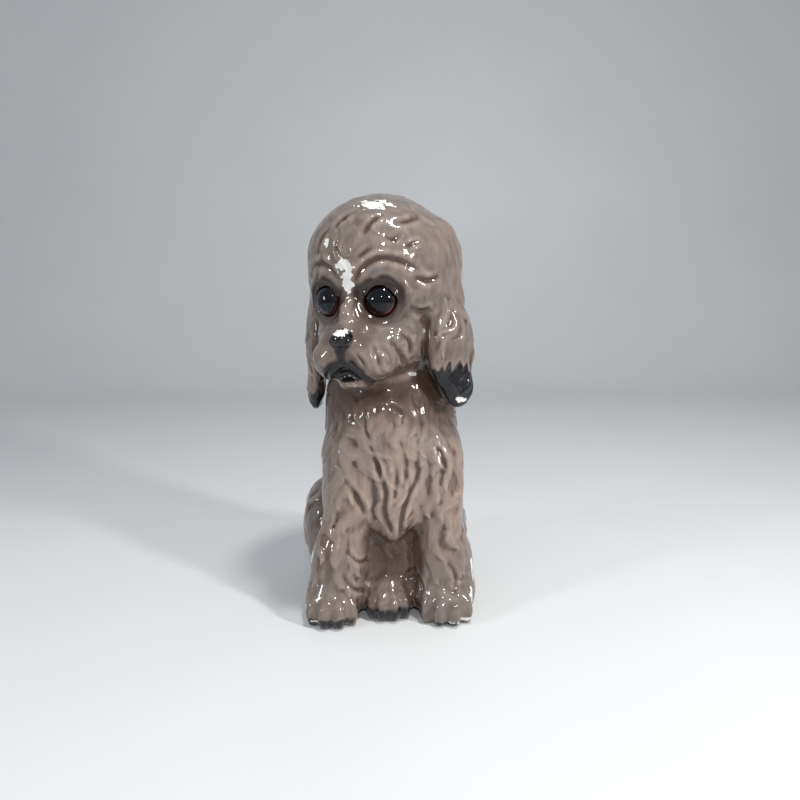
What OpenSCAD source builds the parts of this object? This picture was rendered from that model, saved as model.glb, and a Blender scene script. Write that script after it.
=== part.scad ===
// Sitting poodle puppy, a hollow ceramic figurine with set-in glass eyes.
// Z is up, the body faces -Y and the dog's left is +X.
// The origin is on the table, under the middle of the chest.
// The castings share one rounded form and meet face to face on flat seams.

/* [Overall] */
// Height from the table to the crown of the head
figure_h = 300; // [240:5:360]
// Turn of the head towards the dog's right, in degrees
head_turn = 24; // [16:2:30]

/* [Shell] */
// Wall of the hollow castings, on a 300 mm tall figure
wall_t = 5; // [4:0.5:6]
// Pour and vent hole in the base, on a 300 mm tall figure
vent_d = 24; // [16:2:30]

/* [Eyes] */
// Diameter of each eye, on a 300 mm tall figure
eye_d = 21; // [19:0.5:21.5]
// How far each eye looks outwards, in degrees
eye_splay = 16; // [8:2:24]

/* [Smoothness] */
// Facets around the head
head_cols = 60; // [52:4:72]
// Facets around the torso
torso_cols = 60; // [48:4:64]
// Facets around each leg and ear
limb_cols = 28; // [24:2:32]

/* [Hidden] */

// All lengths below are for a figure 300 mm tall; this scales them.
unit = figure_h / 300;

// The seams between castings
neck_z = 157;
shoulder_z = 118;
hip_z = 95;
foot_z = 46;
chest_y = -18;
tail_y = 66;
hip_x = 40;
tuft_left_x = 16;
tuft_right_x = -18;
ear_x = 51;
step = 0.1;            // thickness of the step where a seam turns a corner

// Middle of the head, and the hole that joins the two hollows
head_at = [-4, -4, 243];
neck_hole_r = 30;
floor_z = 7;           // top of the base inside the torso
torso_axis_y = 10;
vent_y = 26;

// Eyes, in the head's own frame
eye_x = 18;
eye_y = -43;
eye_z = -16;
eye_r = eye_d / 2;
socket_r = eye_r + 0.8;
socket_soft = 3;
iris_t = 1.2;
iris_back = 2;         // the iris lies this far behind the eye's middle
glue_gap = 0.1;

// Surface search
far = 200;
near = 0.04;
tries = 18;

// ---------------------------------------------------------------- rounded form

// A lump is an ellipsoid: centre, half sizes, how softly it blends, turn about Z.
function lump(centre, half, soft, turn = 0) = [centre, half, soft, turn];
function mirrored(l) = lump([-l[0].x, l[0].y, l[0].z], l[1], l[2], -l[3]);

function turned(p, a) = [p.x * cos(a) - p.y * sin(a), p.x * sin(a) + p.y * cos(a), p.z];
function over(p, q) = [p.x / q.x, p.y / q.y, p.z / q.z];

// Distance to one lump, below zero inside it
function lump_gap(p, l) =
    let (
        q = over(turned(p - l[0], -l[3]), l[1]),
        k = norm(q)
    )
    k * (k - 1) / max(norm(over(q, l[1])), 0.0001);

function blend(a, b, soft) =
    let (h = max(soft - abs(a - b), 0))
    min(a, b) - h * h / (4 * soft);

function gap(p, lumps, i = 0, d = far) =
    i == len(lumps) ? d : gap(p, lumps, i + 1, blend(d, lump_gap(p, lumps[i]), lumps[i][2]));

// From the head's own frame, which faces -Y, to the figure's
function on_figure(p) = head_at + turned(p, -head_turn);
function head_lump(l) = lump(on_figure(l[0]), l[1], l[2], l[3] - head_turn);

// The two eye sockets are hollowed out of the head.
function carve(d, p, c) = -blend(-d, norm(p - c) - socket_r, socket_soft);
function shape_gap(p, lumps, sockets) =
    let (d = gap(p, lumps))
    sockets ? carve(carve(d, p, eye_at(1)), p, eye_at(-1)) : d;
function eye_at(side) = on_figure([side * eye_x, eye_y, eye_z]);

// ---------------------------------------------------------------- body lumps

rump = lump([-2, 26, 36], [54, 46, 44], 14);
belly = lump([0, 10, 80], [50, 44, 50], 16);
chest = lump([0, -2, 124], [50, 41, 44], 16);
neck = lump([-1, 2, 156], [48, 41, 38], 14);
ruff = lump([-4, -30, 138], [30, 16, 24], 12);
shoulder_left = lump([33, -20, 114], [19, 19, 24], 10);
shoulder_right = lump([-30, -22, 116], [20, 19, 24], 10);
haunch_left = lump([39, 24, 44], [21, 34, 38], 10);
haunch_right = lump([-51, 20, 50], [21, 35, 38], 10);
base_fur = lump([0, 6, 10], [54, 46, 14], 8);
skirt_left = lump([47, 0, 12], [15, 22, 15], 8);
skirt_right = lump([-50, 0, 10], [15, 20, 13], 8);
upper_leg_left = lump([34, -25, 84], [19, 19, 42], 10);
upper_leg_right = lump([-31, -27, 84], [20, 19, 42], 10);
lower_leg_left = lump([38, -30, 40], [19, 19, 34], 10);
lower_leg_right = lump([-37, -33, 40], [20, 19, 34], 10);
paw_left = lump([45.5, -41, 11], [17.5, 20, 15], 7);
paw_right = lump([-45.5, -43, 11], [18.5, 20, 15], 7);
middle_foot = lump([-2, -36, 9], [16, 18, 13], 6);
middle_shin = lump([-4, -24, 28], [18, 14, 28], 8);
tuft = lump([1, -37, 92], [17, 11, 36], 12);
tail_pompom = lump([0, 74, 46], [15, 13, 27], 8);

body_lumps = [
    rump, belly, chest, neck, ruff, shoulder_left, shoulder_right,
    haunch_left, haunch_right, base_fur, skirt_left, skirt_right,
    upper_leg_left, upper_leg_right, lower_leg_left, lower_leg_right,
    paw_left, paw_right, middle_foot, middle_shin, tuft, tail_pompom
];

// ---------------------------------------------------------------- head lumps

skull = lump([0, 2, 2], [51, 54, 54], 10);
topknot = lump([0, -14, 14], [47, 44, 38], 14);
side_hair = lump([36, -3, -8], [15, 30, 26], 10);
jaw = lump([0, -10, -46], [41, 38, 28], 12);
nape = lump([0, 24, -40], [36, 26, 26], 12);
cheek = lump([18, -28, -40], [18, 22, 22], 10);
muzzle = lump([0, -44, -46], [24, 23, 20], 10);
lip = lump([14, -48, -54], [16, 18, 16], 5);
chin = lump([0, -44, -68], [15, 16, 9], 5);
bridge = lump([0, -46, -26], [9, 20, 14], 8);
nose = lump([-1, -66, -40], [8, 6.5, 6.5], 2);
ear_root_left = lump([46, -4, -18], [12, 20, 20], 8, -20);
ear_flap_left = lump([54, -8, -48], [9, 20, 32], 5, -33);
ear_tip_left = lump([59, -6, -76], [7, 12, 14], 6, -33);
ear_root_right = lump([-48, -2, -18], [12, 20, 20], 8, 20);
ear_flap_right = lump([-56, -4, -50], [9, 21, 36], 5, 33);
ear_tip_right = lump([-59, -2, -86], [7, 12, 14], 6, 33);

plain_head_lumps = [
    for (l = [
        skull, topknot, side_hair, mirrored(side_hair), jaw, nape,
        cheek, mirrored(cheek), muzzle, lip, mirrored(lip), chin, bridge, nose
    ]) head_lump(l)
];

ear_lumps = [
    for (l = [
        ear_root_left, ear_flap_left, ear_tip_left,
        ear_root_right, ear_flap_right, ear_tip_right
    ]) head_lump(l)
];

torso_lumps = concat(body_lumps, plain_head_lumps);
head_lumps = concat([chest, ruff, neck], plain_head_lumps, ear_lumps);

// ---------------------------------------------------------------- finding the surface

// How far a ray from inside goes before it meets the surface, up to a limit
function reach(lumps, from, dir, limit, inset = 0, sockets = false, t = 0, left = tries) =
    let (d = shape_gap(from + t * dir, lumps, sockets) + inset)
    left == 0 || abs(d) < near || (t >= limit && d < 0)
        ? min(max(t, 0.5), limit)
        : reach(lumps, from, dir, limit, inset, sockets, t - 0.9 * d, left - 1);

// Where a ray meets a flat seam; a seam is its outward normal and its distance.
function to_seam(from, dir, seam) =
    let (rate = seam[0] * dir)
    rate <= 0.000001 ? far : (seam[1] - seam[0] * from) / rate;

function to_seams(from, dir, seams) = min([for (s = seams) to_seam(from, dir, s)]);

// ---------------------------------------------------------------- skins

// Points run in rows, each row once around; rows go up the outside.
function band(rows, cols) = [
    for (r = [0 : rows - 2], c = [0 : cols - 1])
        let (
            a = r * cols + c,
            b = r * cols + (c + 1) % cols,
            u = a + cols,
            v = b + cols
        )
        each [[a, u, v], [a, v, b]]
];

// A skin closed by a point at each end
module capped_skin(first, rows, last) {
    cols = len(rows[0]);
    count = len(rows) * cols;
    end = count - cols;
    polyhedron(
        points = unit * [each [for (r = rows) each r], first, last],
        faces = concat(
            band(len(rows), cols),
            [for (c = [0 : cols - 1]) [count, c, (c + 1) % cols]],
            [for (c = [0 : cols - 1]) [count + 1, end + (c + 1) % cols, end + c]]
        )
    );
}

// A skin whose last row joins its first, like a tyre
module ring_skin(rows) {
    cols = len(rows[0]);
    end = (len(rows) - 1) * cols;
    polyhedron(
        points = unit * [for (r = rows) each r],
        faces = concat(
            band(len(rows), cols),
            [
                for (c = [0 : cols - 1])
                    let (d = (c + 1) % cols)
                    each [[end + c, c, d], [end + c, d, end + d]]
            ]
        )
    );
}

// A solid casting seen from one inner point, stretched to suit its length
module solid_casting(lumps, from, stretch, seams, cols, rows) {
    function place(el, az) =
        let (
            s = [stretch.x * cos(el) * cos(az), stretch.y * cos(el) * sin(az), stretch.z * sin(el)],
            dir = s / norm(s)
        )
        from + dir * reach(lumps, from, dir, to_seams(from, dir, seams));
    capped_skin(
        place(-90, 0),
        [
            for (r = [1 : rows - 1])
                [for (c = [0 : cols - 1]) place(180 * r / rows - 90, 360 * c / cols)]
        ],
        place(90, 0)
    );
}

// ---------------------------------------------------------------- torso

// Distances from the torso's upright axis to lines x = at and y = at
function to_x(dir, at) = dir.x * at <= 0 ? far : at / dir.x;
function to_y(dir, at) = dir.y * (at - torso_axis_y) <= 0 ? far : (at - torso_axis_y) / dir.y;

// The limbs' seams: the tuft runs out between the front legs above the middle foot.
function torso_limit(z, dir, inset) =
    let (
        front = to_y(dir, chest_y + inset),
        beside_tuft = max(front, to_x(dir, dir.x > 0 ? tuft_left_x : tuft_right_x)),
        closed = z < foot_z || inset > 0,
        front_limit = z > shoulder_z + inset ? far : closed ? front : beside_tuft,
        side_limit = z > hip_z + inset ? far : to_x(dir, sign(dir.x) * (hip_x - inset))
    )
    min(front_limit, side_limit, to_y(dir, tail_y - inset));

// The two corners beside the tuft each get a facet edge of their own.
tuft_angles = [
    atan2(chest_y - torso_axis_y, tuft_right_x) + 360,
    atan2(chest_y - torso_axis_y, tuft_left_x) + 360
];
function snapped(a, half) =
    let (close = [for (t = tuft_angles) if (abs(t - a) <= half) t])
    len(close) > 0 ? close[0] : a;

function torso_row(z, inset) = [
    for (c = [0 : torso_cols - 1])
        let (
            az = snapped(360 * c / torso_cols, 180 / torso_cols),
            from = [0, torso_axis_y, z],
            dir = [cos(az), sin(az), 0]
        )
        from + dir * reach(torso_lumps, from, dir, torso_limit(z, dir, inset), inset)
];

function hole_row(z, r) = [
    for (c = [0 : torso_cols - 1])
        let (az = snapped(360 * c / torso_cols, 180 / torso_cols))
        [r * cos(az), vent_y + r * sin(az), z]
];

function both_sides(z) = [z - step / 2, z + step / 2];

module torso_shell() {
    outside = concat(
        [0, 4, 10, 18, 27, 37], both_sides(foot_z), [56, 66, 76, 86], both_sides(hip_z),
        [103, 111], both_sides(shoulder_z), [126, 134, 142, 150, neck_z]
    );
    inside = concat(
        [neck_z, 145, 134], [shoulder_z + wall_t + step, shoulder_z + wall_t],
        [108, hip_z + wall_t, hip_z - step, 80, 64, 48, 32, 18, floor_z]
    );
    color("rosybrown")
        ring_skin(concat(
            [for (z = outside) torso_row(z, 0)],
            [for (z = inside) torso_row(z, wall_t)],
            [hole_row(floor_z, vent_d / 2), hole_row(0, vent_d / 2)]
        ));
}

// ---------------------------------------------------------------- head

// The head's skin is seen from a point low in the face, so that the muzzle shows.
head_eye_point = on_figure([0, -8, -22]);
neck_drop = neck_z - head_eye_point.z;
head_low = atan2(neck_drop, neck_hole_r);
hollow_low = atan2(neck_drop + wall_t, neck_hole_r + step);
hollow_seams = [[[0, 0, -1], -neck_z - wall_t]];

// The ear seams stand upright in the turned head.
outwards = turned([1, 0, 0], -head_turn);
ear_seam_left = [outwards, ear_x + outwards * head_at];
ear_seam_right = [-outwards, ear_x - outwards * head_at];
head_seams = [ear_seam_left, ear_seam_right, [[0, 0, -1], -neck_z]];

function flipped(seam) = [-seam[0], -seam[1]];

// Columns crowd towards the face.
function head_az(c) = let (u = 360 * c / head_cols) u - 90 - head_turn - 30 * sin(u);

function head_point(el, az, seams, inset) =
    let (dir = [cos(el) * cos(az), cos(el) * sin(az), sin(el)])
    head_eye_point + dir * reach(
        head_lumps, head_eye_point, dir, to_seams(head_eye_point, dir, seams), inset, true
    );

function head_rows(low, indices, count, seams, inset) = [
    for (r = indices)
        [for (c = [0 : head_cols - 1]) head_point(low + (90 - low) * r / count, head_az(c), seams, inset)]
];

// The edge of the neck hole inside the head, level with the top of the collar
function collar_row() = [
    for (c = [0 : head_cols - 1])
        let (az = head_az(c))
        head_eye_point + [neck_hole_r * cos(az), neck_hole_r * sin(az), neck_drop + wall_t]
];

module head_shell() {
    outer_rows = 34;
    inner_rows = 8;
    color("rosybrown")
        capped_skin(
            head_point(90, 0, hollow_seams, wall_t),
            concat(
                head_rows(hollow_low, [inner_rows - 1 : -1 : 1], inner_rows, hollow_seams, wall_t),
                [collar_row()],
                head_rows(head_low, [0 : outer_rows - 1], outer_rows, head_seams, 0)
            ),
            head_point(90, 0, head_seams, 0)
        );
}

module ear_left() {
    color("tan")
        solid_casting(head_lumps, on_figure([56, -7, -48]), [1, 1.5, 4],
            [flipped(ear_seam_left)], limb_cols, 18);
}

module ear_right() {
    color("tan")
        solid_casting(head_lumps, on_figure([-57, -4, -52]), [1, 1.5, 4],
            [flipped(ear_seam_right)], limb_cols, 18);
}

// ---------------------------------------------------------------- legs and tail

table = [[0, 0, -1], 0];
in_front = [[0, 1, 0], chest_y];
behind = [[0, -1, 0], -chest_y];

module front_leg_left() {
    color("burlywood")
        solid_casting(body_lumps, [37, -32, 40], [1, 1, 2],
            [table, in_front, [[0, 0, 1], shoulder_z], [[-1, 0, 0], -tuft_left_x]],
            limb_cols, 20);
}

module front_leg_right() {
    color("burlywood")
        solid_casting(body_lumps, [-37, -34, 40], [1, 1, 2],
            [table, in_front, [[0, 0, 1], shoulder_z], [[1, 0, 0], tuft_right_x]],
            limb_cols, 20);
}

module hind_leg_left() {
    color("burlywood")
        solid_casting(body_lumps, [46, 20, 42], [1, 2, 2],
            [table, behind, [[0, 0, 1], hip_z], [[-1, 0, 0], -hip_x]],
            limb_cols, 16);
}

module hind_leg_right() {
    color("burlywood")
        solid_casting(body_lumps, [-52, 18, 44], [1, 2, 2],
            [table, behind, [[0, 0, 1], hip_z], [[1, 0, 0], -hip_x]],
            limb_cols, 16);
}

module hind_foot_right() {
    color("burlywood")
        solid_casting(body_lumps, [-2, -30, 18], [1, 1, 1],
            [
                table, in_front, [[0, 0, 1], foot_z],
                [[1, 0, 0], tuft_left_x], [[-1, 0, 0], -tuft_right_x]
            ],
            limb_cols, 14);
}

module tail() {
    color("tan")
        solid_casting(body_lumps, [0, 78, 44], [1, 1, 2],
            [table, [[0, -1, 0], -tail_y]], limb_cols, 14);
}

// ---------------------------------------------------------------- eyes

// Puts an eye's parts in its socket, looking along their own +Z; side is 1 for left.
module in_socket(side) {
    translate(unit * eye_at(side))
        rotate([90, 0, side * eye_splay - head_turn])
            children();
}

module eye_slice(low, high) {
    intersection() {
        sphere(r = unit * eye_r, $fn = 64);
        translate(unit * [-eye_r - 1, -eye_r - 1, low])
            cube(unit * [2 * eye_r + 2, 2 * eye_r + 2, high - low]);
    }
}

module eye_glass(side) {
    color("midnightblue")
        in_socket(side)
            eye_slice(-iris_back, eye_r + 1);
}

module eye_iris(side) {
    color("saddlebrown")
        in_socket(side)
            eye_slice(-iris_back - glue_gap - iris_t, -iris_back - glue_gap);
}

module eye_setting(side) {
    color("white")
        in_socket(side)
            eye_slice(-eye_r - 1, -iris_back - 2 * glue_gap - iris_t);
}

// ---------------------------------------------------------------- what to draw

torso_shell();
head_shell();
ear_left();
ear_right();
front_leg_left();
front_leg_right();
hind_leg_left();
hind_leg_right();
hind_foot_right();
tail();
eye_glass(1);  // eye_left_glass
eye_iris(1);  // eye_left_iris
eye_setting(1);  // eye_left_setting
eye_glass(-1);  // eye_right_glass
eye_iris(-1);  // eye_right_iris
eye_setting(-1);  // eye_right_setting
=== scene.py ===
"""A glazed ceramic poodle puppy: the sculpted, painted skin around its packed castings.

Lengths are millimetres until a mesh is made. Z is up, the chest faces -Y and the dog's
left is +X. The head has its own frame, turned towards the dog's right.
"""

import math
from itertools import product

import bmesh
import bpy
import numpy as np
import openvdb
from mathutils import Matrix, Vector
from mathutils.bvhtree import BVHTree
from mathutils.kdtree import KDTree


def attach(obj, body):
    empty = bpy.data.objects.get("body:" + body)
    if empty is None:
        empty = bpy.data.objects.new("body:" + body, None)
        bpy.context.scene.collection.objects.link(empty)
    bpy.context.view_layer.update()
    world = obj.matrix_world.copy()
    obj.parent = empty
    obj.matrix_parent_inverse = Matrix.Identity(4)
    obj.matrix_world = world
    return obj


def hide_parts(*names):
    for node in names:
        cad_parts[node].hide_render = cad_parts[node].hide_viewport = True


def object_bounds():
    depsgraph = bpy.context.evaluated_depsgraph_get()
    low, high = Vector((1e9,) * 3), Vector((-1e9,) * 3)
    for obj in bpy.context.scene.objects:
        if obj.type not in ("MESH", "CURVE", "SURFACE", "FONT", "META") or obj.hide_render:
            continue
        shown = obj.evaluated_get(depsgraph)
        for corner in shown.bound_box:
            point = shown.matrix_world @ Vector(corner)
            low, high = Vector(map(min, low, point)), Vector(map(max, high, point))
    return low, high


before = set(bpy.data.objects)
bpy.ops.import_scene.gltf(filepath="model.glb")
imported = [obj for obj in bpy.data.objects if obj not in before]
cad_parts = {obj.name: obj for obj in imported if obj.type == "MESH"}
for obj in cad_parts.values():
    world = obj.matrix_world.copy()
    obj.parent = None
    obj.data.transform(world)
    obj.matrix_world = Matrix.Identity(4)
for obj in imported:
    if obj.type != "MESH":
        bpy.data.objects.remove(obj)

MM = 0.001
CAD_BOX = [[float(v) for v in corner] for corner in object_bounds()]
HEAD_AT = np.array([-4.0, -4.0, 243.0])
HEAD_TURN = math.radians(24)
VOXEL = 0.9  # spacing of the skin's points
FINE = round(27 / VOXEL ** 2)  # rounds of evening out that reach a few millimetres
FAR = 200.0  # stands for any distance that is too long to matter
RANDOM = np.random.default_rng(7)  # the one source of chance in the coat

EYE_X, EYE_Y, EYE_Z = 18.0, -43.0, -16.0  # middle of the left eye in the head frame
EYE_R = 11.3  # radius of the glass
EYE_SPLAY = math.radians(16)  # how far each eye looks outwards
IRIS_BACK = 2.0  # how far behind its middle the glass ends
PAINT_R = 10.1  # radius of the painted dome under the glass
GLUE = 0.1  # gap between the dome and the glass


# ---- frames

def turn_about_z(angle):
    c, s = math.cos(angle), math.sin(angle)
    return np.array([[c, -s, 0], [s, c, 0], [0, 0, 1]])


HEAD_AXES = turn_about_z(-HEAD_TURN)


def from_head(points):
    """Head frame to figure frame."""
    return np.asarray(points, float) @ HEAD_AXES.T + HEAD_AT


def to_head(points):
    """Figure frame to head frame."""
    return (np.asarray(points, float) - HEAD_AT) @ HEAD_AXES


def smoothstep(low, high, value):
    t = np.clip((value - low) / (high - low), 0, 1)
    return t * t * (3 - 2 * t)


def unit(vectors):
    return vectors / np.maximum(np.linalg.norm(vectors, axis=-1, keepdims=True), 1e-9)


def kd_tree(points):
    """A tree for finding the nearest of the points."""
    tree = KDTree(len(points))
    for i, p in enumerate(points):
        tree.insert(p, i)
    tree.balance()
    return tree


# ---- lumps of clay

def lump(centre, half, soft, turn=0.0):
    """An ellipsoid: its centre, half sizes, blend width and turn about Z in degrees."""
    axes = turn_about_z(math.radians(turn))
    return {"at": np.array(centre, float), "half": np.array(half, float), "soft": soft, "axes": axes}


def on_figure(part):
    """A lump given in the head frame, put in the figure frame."""
    return {**part, "at": from_head(part["at"]), "axes": HEAD_AXES @ part["axes"]}


def both(centre, half, soft):
    """A lump and its mirror image."""
    x, y, z = centre
    return [lump(centre, half, soft), lump((-x, y, z), half, soft)]


def lump_gap(points, part):
    local = (points - part["at"]) @ part["axes"] / part["half"]
    k = np.sqrt((local * local).sum(-1))
    local /= part["half"]
    return k * (k - 1) / np.maximum(np.sqrt((local * local).sum(-1)), 1e-6)


def blend(a, b, soft):
    h = np.maximum(soft - np.abs(a - b), 0)
    return np.minimum(a, b) - h * h / (4 * soft)


def carve(a, b, soft):
    """What is left of a when b is scooped out of it."""
    return -blend(-a, b, soft)


def gap(points, parts):
    d = np.full(len(points), FAR)
    for part in parts:
        d = blend(d, lump_gap(points, part), part["soft"])
    return d


TORSO = [
    lump((-2, 26, 36), (54, 46, 44), 14),  # rump
    lump((0, 10, 80), (50, 44, 50), 16),  # belly
    lump((0, -2, 124), (50, 41, 44), 16),  # chest
    lump((-1, 2, 156), (48, 41, 38), 14),  # neck
    lump((-4, -30, 138), (30, 16, 24), 12),  # ruff
    lump((33, -20, 114), (19, 19, 24), 10),  # left shoulder
    lump((-30, -22, 116), (20, 19, 24), 10),  # right shoulder
    lump((1, -37, 92), (17, 11, 36), 12),  # chest tuft
    lump((0, 6, 10), (54, 46, 14), 8),  # fur on the table
]
HAUNCHES = [
    lump((39, 24, 44), (21, 34, 38), 10),  # left thigh
    lump((-51, 20, 50), (21, 35, 38), 10),  # right thigh
    lump((47, 0, 12), (15, 22, 15), 8),  # fur in front of the left thigh
    lump((-50, 0, 10), (15, 20, 13), 8),  # fur in front of the right thigh
]
LEGS = [
    lump((34, -25, 84), (19, 19, 42), 10),  # left upper leg
    lump((-31, -27, 84), (20, 19, 42), 10),  # right upper leg
    lump((38, -30, 36), (22, 20, 34), 10),  # left lower leg
    lump((-38, -33, 36), (22, 20, 34), 10),  # right lower leg
    lump((-4, -24, 28), (18, 14, 28), 8),  # leg of the small foot
    lump((11, -18, 34), (12, 13, 40), 8),  # fur beside it, left
    lump((-18, -20, 34), (12, 15, 40), 8),  # fur beside it, right
]
TAIL = [lump((0, 74, 46), (15, 13, 27), 8)]


def toes(x, y, fan, reach, count=4):
    """Toe knuckles fanned around the front of a paw, over an angle in degrees."""
    made = []
    for i in range(count):
        a = math.radians(fan * (i / (count - 1) - 0.5))
        at = (x + reach * math.sin(a), y - reach * math.cos(a), 10.0)
        made.append(lump(at, (5.6, 9.0, 11.0), 3.0, math.degrees(a)))
    return made


PAWS = [
    lump((38, -36, 15), (23, 21, 19), 8),  # left front
    lump((-42, -39, 15), (22, 21, 19), 8),  # right front
    lump((-3, -33, 12), (18, 17, 17), 6),  # small foot
    *toes(38.5, -36, 88, 17.2),
    *toes(-42.5, -39, 88, 17.2),
    *toes(-3, -32.5, 84, 13.5),
]

HEAD = [on_figure(part) for part in [
    lump((0, 2, 2), (51, 54, 54), 10),  # skull
    lump((0, -14, 14), (47, 44, 38), 14),  # topknot
    *both((36, -3, -8), (15, 30, 26), 10),  # hair over the ears
    lump((41, 2, 12), (14, 26, 26), 10),  # hair standing out on the left
    lump((0, -10, -46), (41, 38, 28), 12),  # jaw
    lump((0, 24, -40), (36, 26, 26), 12),  # nape
]]
FACE = [on_figure(part) for part in [
    *both((18, -28, -40), (18, 22, 22), 10),  # cheeks
    lump((0, -44, -46), (24, 23, 20), 10),  # muzzle
    *both((14, -48, -54), (16, 18, 16), 4),  # lips
    lump((0, -46, -70), (12, 15, 7), 3),  # chin
    lump((0, -46, -26), (8, 20, 14), 8),  # bridge
]]
NOSE = [on_figure(part) for part in [
    lump((0, -66, -40), (7.4, 6.5, 5.4), 2),
    *both((4.6, -65, -41.5), (3.8, 5.5, 3.8), 1.5),
]]
EAR_LEFT = [on_figure(part) for part in [
    lump((46, -4, -18), (12, 20, 20), 8, -20),
    lump((54, -8, -48), (9, 20, 32), 5, -33),
    lump((59, -6, -76), (7, 12, 14), 6, -33),
]]
EAR_RIGHT = [on_figure(part) for part in [
    lump((-48, -2, -18), (12, 20, 20), 8, 20),
    lump((-56, -4, -50), (9, 21, 36), 5, 33),
    lump((-59, -2, -86), (7, 12, 14), 6, 33),
]]

BODY_FORM = TORSO + HAUNCHES + LEGS + PAWS + TAIL
HEAD_FORM = HEAD + FACE + NOSE + EAR_LEFT + EAR_RIGHT


# ---- lines in the clay

def along_line(points, path, reach):
    """Distance to a bent line, far away beyond reach, and how far along it from 0 to 1."""
    path = np.asarray(path, float)
    d = np.full(len(points), FAR)
    share = np.zeros(len(points))
    low, high = path.min(0) - reach, path.max(0) + reach
    near = np.flatnonzero(((points > low) & (points < high)).all(1))
    p = points[near]
    best = np.full(len(near), FAR)
    where = np.zeros(len(near))
    for k, (a, b) in enumerate(zip(path[:-1], path[1:])):
        along = b - a
        t = np.clip(((p - a) @ along) / (along @ along), 0, 1)
        here = np.linalg.norm(p - a - t[:, None] * along, axis=1)
        where = np.where(here < best, (k + t) / (len(path) - 1), where)
        best = np.minimum(best, here)
    d[near], share[near] = best, where
    return d, share


def line_gap(points, path, reach):
    return along_line(points, path, reach)[0]


def rounded(path, rounds=2):
    """The same line with its corners cut off."""
    path = np.asarray(path, float)
    for _ in range(rounds):
        a, b = path[:-1], path[1:]
        cut = np.stack([0.75 * a + 0.25 * b, 0.25 * a + 0.75 * b], 1).reshape(-1, 3)
        path = np.vstack([path[:1], cut[1:-1], path[-1:]])
    return path


def skin_y(x, z, parts, to_figure=from_head):
    """Where the skin is in front of the point (x, z), in the head frame unless told otherwise."""
    low, high = -95.0, 0.0
    for _ in range(24):
        middle = (low + high) / 2
        inside = gap(to_figure(np.array([[x, middle, z]])), parts)[0] < 0
        low, high = (low, middle) if inside else (middle, high)
    return high


def on_face(marks, parts, lift=0.0):
    """A line drawn on the face at (x, z) marks, laid on the skin."""
    return from_head([(x, skin_y(x, z, parts) - lift, z) for x, z in marks])


def eye_axes(side):
    """Sideways, upwards and outwards directions of one eye, in the figure frame."""
    out = HEAD_AXES @ np.array([side * math.sin(EYE_SPLAY), -math.cos(EYE_SPLAY), 0])
    up = np.array([0, 0, 1.0])
    return np.cross(up, out) * -1, up, out


def eye_centre(side):
    return from_head([side * EYE_X, EYE_Y, EYE_Z])


def lid_arc(side, radius, forward, start, end, squash=1.0, count=12):
    """Part of a ring around an eye, from start to end degrees, 90 being its top."""
    across, up, out = eye_axes(side)
    angles = np.radians(np.linspace(start, end, count))
    return [
        eye_centre(side) + radius * math.cos(a) * across
        + radius * squash * math.sin(a) * up + forward * out
        for a in angles
    ]


def figure_gap(points):
    """Signed distance to the smooth figure, with its face and toes."""
    d = gap(points, BODY_FORM + HEAD_FORM)
    for side in (1, -1):
        ball = np.linalg.norm(points - eye_centre(side), axis=1)
        d = carve(d, ball - EYE_R - 1.8, 4)
        for path, radius, soft in LIDS[side]:
            d = blend(d, line_gap(points, path, 12) - radius, soft)
        d = carve(d, ball - EYE_R - 0.15, 0.6)
    for path, radius, soft in GROOVES:
        d = carve(d, line_gap(points, path, 10) - radius, soft)
    return np.maximum(d, -points[:, 2])


LIDS = {
    # rolls of clay around each eye: their line, radius and blend width
    side: [
        (lid_arc(side, EYE_R + 3.4, -0.5, 0, 360, 1, 36), 4.0, 5.0),  # bed of the lids
        (lid_arc(side, EYE_R + 0.4, 4.0, 0, 360, 1, 30), 1.5, 1.4),  # rim against the glass
        (lid_arc(side, EYE_R - 1.0, 6.0, 25, 155, 1), 1.6, 1.8),  # upper lid
        (lid_arc(side, EYE_R + 4.6, 3.0, 0, 360, 1, 36), 1.4, 3.0),  # fold around the lids
        (lid_arc(side, EYE_R + 7.0, 2.4, 25, 155, 0.98), 2.0, 5.0),  # fold under the brow
    ]
    for side in (1, -1)
}


def face_grooves():
    """Lines cut into the face: their path, radius and blend width."""
    parts = HEAD + FACE
    grooves = [(on_face([(0, -46), (0, -50), (0, -55)], parts, 0.2), 0.9, 1.2)]
    for side in (1, -1):
        mouth = [(0, -55), (side * 6, -58), (side * 12, -62.5), (side * 17, -68)]
        grooves.append((on_face(mouth, parts), 1.2, 1.6))
        nostril = from_head([(side * 3.2, -72.5, -42), (side * 5.6, -70.5, -41)])
        grooves.append((nostril, 0.9, 0.6))
    return grooves


GROOVES = face_grooves()
MOUTH_LINES = GROOVES[:2] + GROOVES[3:4]  # the line under the nose and both sides of the mouth
NOSE_AT = (0, -66, -40)  # middle of the nose in the head frame
# Down the front edge of the left ear, in the head frame.
EAR_ROOT = np.array([(42, -22, -24), (43, -27, -40), (41, -30, -56), (38, -30, -70)], float)
# From the inner corner of an eye down beside the nose, in the head frame.
INNER_CHEEK = np.array([(8, -50, -14), (10, -52, -26), (11, -58, -38)], float)
TOE_PAINT = [
    # middle of the paw, its reach and how far up the black goes
    (38.5, -36, 23, 6), (-42.5, -39, 23, 12), (-3, -32.5, 20, 17),
]


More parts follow.
